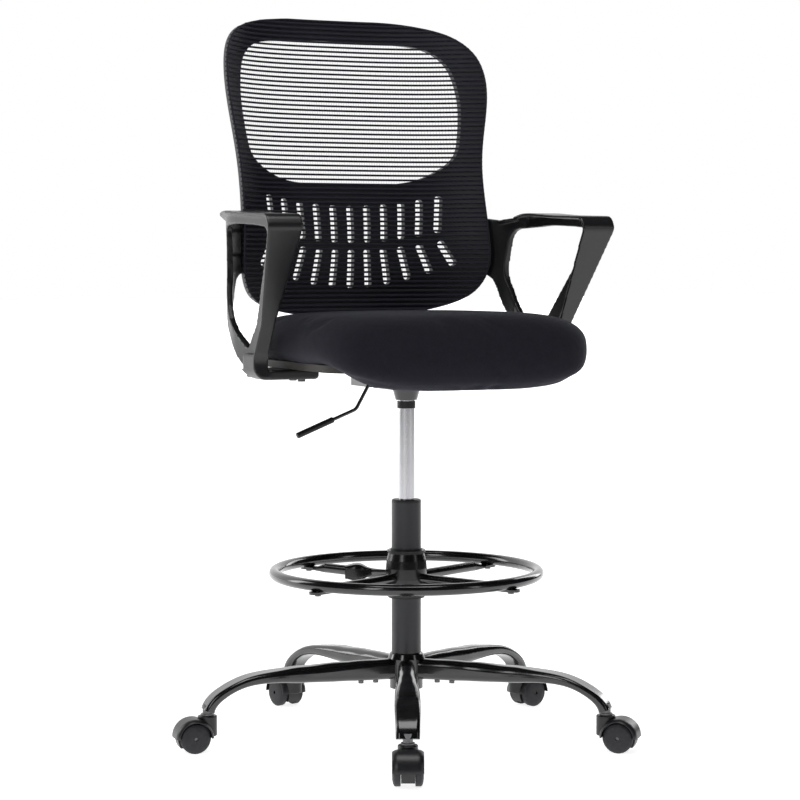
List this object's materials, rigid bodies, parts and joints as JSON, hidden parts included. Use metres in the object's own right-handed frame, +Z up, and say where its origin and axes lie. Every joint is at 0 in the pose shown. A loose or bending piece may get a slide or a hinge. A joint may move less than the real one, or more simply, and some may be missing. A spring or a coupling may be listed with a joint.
{
  "type": "drafting chair",
  "caption": "Tall swivel drafting chair with a mesh back, loop arms, a padded seat, a height-adjustable foot ring and a five-leg base on twin-wheel casters.",
  "frame": {"origin": "on the floor, on the axis of the gas lift column", "axes": "+Z up along the column; -Y is the way the sitter faces; +X is the sitter's left"},
  "size_m": [0.7655, 0.7749, 1.2428],
  "materials": {
    "gloss_black": "gloss",
    "ring_plastic": "gloss",
    "screw_steel": "satin",
    "column_paint": "satin",
    "black_plastic": "matte",
    "chrome": "polished",
    "rod_steel": "satin",
    "caster_hood": "satin",
    "caster_tread": "matte",
    "plywood": "matte",
    "seat_fabric": "woven",
    "arm_nylon": "satin",
    "frame_nylon": "matte",
    "back_fabric": "mesh"
  },
  "bodies": {
    "base": {"base_hub": "gloss_black", "base_arm_1": "gloss_black", "base_arm_2": "gloss_black", "base_arm_3": "gloss_black", "base_arm_4": "gloss_black", "base_arm_5": "gloss_black", "arm_screws": "screw_steel", "caster_sockets": "screw_steel", "column_tube": "column_paint", "guide_bush": "black_plastic", "thrust_bearing": "screw_steel"},
    "spindle": {"piston_rod": "rod_steel", "piston": "black_plastic", "column_clip": "screw_steel"},
    "seat": {"gas_cylinder": "chrome", "cylinder_collar": "black_plastic", "seat_plate": "gloss_black", "plate_bolts": "screw_steel", "seat_board": "plywood", "seat_cushion": "seat_fabric", "arm_left": "arm_nylon", "arm_right": "arm_nylon", "arm_bolts": "screw_steel", "back_bolts": "screw_steel", "back_frame": "frame_nylon", "back_mesh": "back_fabric"},
    "lever": {"lever_rod": "rod_steel", "lever_grip": "black_plastic"},
    "valve": {"valve_pin": "black_plastic"},
    "ring_sleeve": {"ring_liner": "black_plastic"},
    "foot_ring": {"ring_hub": "ring_plastic", "ring_hoop": "gloss_black", "ring_spokes": "gloss_black", "spoke_screws": "screw_steel"},
    "knob": {"clamp_knob": "ring_plastic", "clamp_screw": "screw_steel"},
    "caster_1": {"caster_1_body": "caster_hood", "caster_1_pins": "screw_steel"},
    "caster_1_roller_l": {"caster_1_wheel_l": "caster_tread"},
    "caster_1_roller_r": {"caster_1_wheel_r": "caster_tread"},
    "caster_2": {"caster_2_body": "caster_hood", "caster_2_pins": "screw_steel"},
    "caster_2_roller_l": {"caster_2_wheel_l": "caster_tread"},
    "caster_2_roller_r": {"caster_2_wheel_r": "caster_tread"},
    "caster_3": {"caster_3_body": "caster_hood", "caster_3_pins": "screw_steel"},
    "caster_3_roller_l": {"caster_3_wheel_l": "caster_tread"},
    "caster_3_roller_r": {"caster_3_wheel_r": "caster_tread"},
    "caster_4": {"caster_4_body": "caster_hood", "caster_4_pins": "screw_steel"},
    "caster_4_roller_l": {"caster_4_wheel_l": "caster_tread"},
    "caster_4_roller_r": {"caster_4_wheel_r": "caster_tread"},
    "caster_5": {"caster_5_body": "caster_hood", "caster_5_pins": "screw_steel"},
    "caster_5_roller_l": {"caster_5_wheel_l": "caster_tread"},
    "caster_5_roller_r": {"caster_5_wheel_r": "caster_tread"}
  },
  "joints": [
    {"name": "seat_swivel", "type": "hinge", "parent": "base", "child": "spindle", "pos_m": [0, 0, 0.1], "axis": [0, 0, 1], "continuous": true},
    {"name": "seat_height", "type": "slide", "parent": "spindle", "child": "seat", "axis": [0, 0, 1], "range_m": [-0.145, 0.055]},
    {"name": "lever_lift", "type": "hinge", "parent": "seat", "child": "lever", "pos_m": [-0.043, 0, 0.6254], "axis": [0, 1, 0], "range_deg": [0, 6], "stiffness_Nm_per_rad": 1.5, "springref_deg": -8.59},
    {"name": "valve_press", "type": "slide", "parent": "seat", "child": "valve", "axis": [0, 0, -1], "range_m": [0, 0.0055], "stiffness_N_per_m": 400, "springref_m": -0.001},
    {"name": "ring_height", "type": "slide", "parent": "base", "child": "ring_sleeve", "axis": [0, 0, 1], "range_m": [-0.09, 0.06]},
    {"name": "ring_turn", "type": "hinge", "parent": "ring_sleeve", "child": "foot_ring", "pos_m": [0, 0, 0.2847], "axis": [0, 0, 1], "continuous": true},
    {"name": "clamp_turn", "type": "hinge", "parent": "foot_ring", "child": "knob", "pos_m": [-0.04078, 0.01902, 0.2847], "axis": [-0.9063, 0.4226, 0], "range_deg": [0, 360]},
    {"name": "caster_1_swivel", "type": "hinge", "parent": "base", "child": "caster_1", "pos_m": [-0.14487, -0.31641, 0.06], "axis": [0, 0, 1], "continuous": true},
    {"name": "caster_1_roll_l", "type": "hinge", "parent": "caster_1", "child": "caster_1_roller_l", "pos_m": [-0.15507, -0.33869, 0.025], "axis": [0.9092, -0.4163, 0], "continuous": true},
    {"name": "caster_1_roll_r", "type": "hinge", "parent": "caster_1", "child": "caster_1_roller_r", "pos_m": [-0.15507, -0.33869, 0.025], "axis": [0.9092, -0.4163, 0], "continuous": true},
    {"name": "caster_2_swivel", "type": "hinge", "parent": "base", "child": "caster_2", "pos_m": [0.25616, -0.23555, 0.06], "axis": [0, 0, 1], "continuous": true},
    {"name": "caster_2_roll_l", "type": "hinge", "parent": "caster_2", "child": "caster_2_roller_l", "pos_m": [0.2742, -0.25214, 0.025], "axis": [0.6769, 0.7361, 0], "continuous": true},
    {"name": "caster_2_roll_r", "type": "hinge", "parent": "caster_2", "child": "caster_2_roller_r", "pos_m": [0.2742, -0.25214, 0.025], "axis": [0.6769, 0.7361, 0], "continuous": true},
    {"name": "caster_3_swivel", "type": "hinge", "parent": "base", "child": "caster_3", "pos_m": [0.30318, 0.17083, 0.06], "axis": [0, 0, 1], "continuous": true},
    {"name": "caster_3_roll_l", "type": "hinge", "parent": "caster_3", "child": "caster_3_roller_l", "pos_m": [0.32695, 0.17676, 0.025], "axis": [-0.2419, 0.9703, 0], "continuous": true},
    {"name": "caster_3_roll_r", "type": "hinge", "parent": "caster_3", "child": "caster_3_roller_r", "pos_m": [0.32695, 0.17676, 0.025], "axis": [-0.2419, 0.9703, 0], "continuous": true},
    {"name": "caster_4_swivel", "type": "hinge", "parent": "base", "child": "caster_4", "pos_m": [-0.06878, 0.34113, 0.06], "axis": [0, 0, 1], "continuous": true},
    {"name": "caster_4_roll_l", "type": "hinge", "parent": "caster_4", "child": "caster_4_roller_l", "pos_m": [-0.07363, 0.36515, 0.025], "axis": [-0.9803, -0.1977, 0], "continuous": true},
    {"name": "caster_4_roll_r", "type": "hinge", "parent": "caster_4", "child": "caster_4_roller_r", "pos_m": [-0.07363, 0.36515, 0.025], "axis": [-0.9803, -0.1977, 0], "continuous": true},
    {"name": "caster_5_swivel", "type": "hinge", "parent": "base", "child": "caster_5", "pos_m": [-0.34569, 0.04, 0.06], "axis": [0, 0, 1], "continuous": true},
    {"name": "caster_5_roll_l", "type": "hinge", "parent": "caster_5", "child": "caster_5_roller_l", "pos_m": [-0.37003, 0.04281, 0.025], "axis": [-0.1149, -0.9934, 0], "continuous": true},
    {"name": "caster_5_roll_r", "type": "hinge", "parent": "caster_5", "child": "caster_5_roller_r", "pos_m": [-0.37003, 0.04281, 0.025], "axis": [-0.1149, -0.9934, 0], "continuous": true}
  ],
  "couplings": [
    {"joint": "valve_press", "follows": "lever_lift", "m_per_rad": 0.043}
  ]
}
